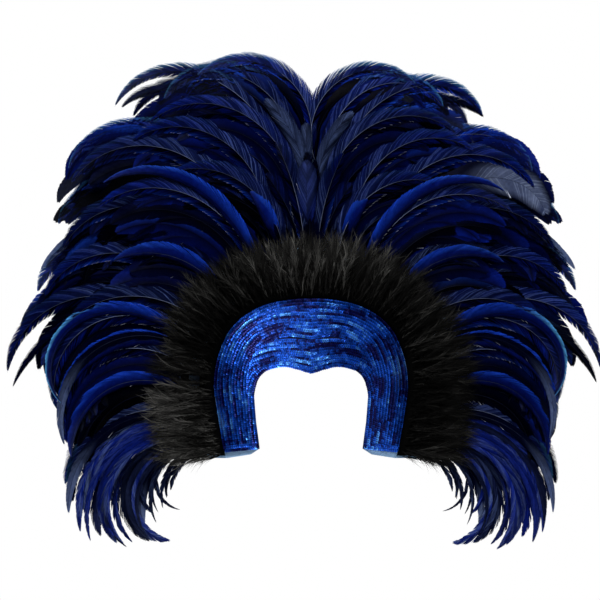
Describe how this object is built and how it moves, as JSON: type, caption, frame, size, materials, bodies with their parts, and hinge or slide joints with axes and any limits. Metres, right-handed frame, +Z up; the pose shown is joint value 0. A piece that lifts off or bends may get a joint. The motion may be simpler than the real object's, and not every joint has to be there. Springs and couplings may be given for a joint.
{
  "type": "showgirl feather headdress",
  "caption": "Showgirl headdress: a blue sequinned horseshoe over the brow, edged with black down and fanned all round with curling navy and royal blue cock feathers.",
  "frame": {"origin": "middle of the head opening, level with the ends of the sequinned legs, where the wearer's head sits", "axes": "+Z up, the wearer faces -Y, +X towards the right of the picture"},
  "size_m": [0.6986, 0.1407, 0.5826],
  "materials": {
    "felt": "pale blue felt over stiff buckram",
    "sequin": "royal blue cupped sequins",
    "down": "black down, soft and matte",
    "plume": "dyed cock feathers, navy to royal blue with a satin sheen"
  },
  "bodies": {
    "root": {"base_frame": "felt", "sequin_panel": "sequin", "fluff_crown_left": "down", "fluff_side_left": "down", "plumes_outer_left": "plume", "plumes_middle_left": "plume", "plumes_crown_left": "plume", "plumes_side_left": "plume", "fluff_crown_right": "down", "fluff_side_right": "down", "plumes_outer_right": "plume", "plumes_middle_right": "plume", "plumes_crown_right": "plume", "plumes_side_right": "plume"}
  },
  "joints": []
}
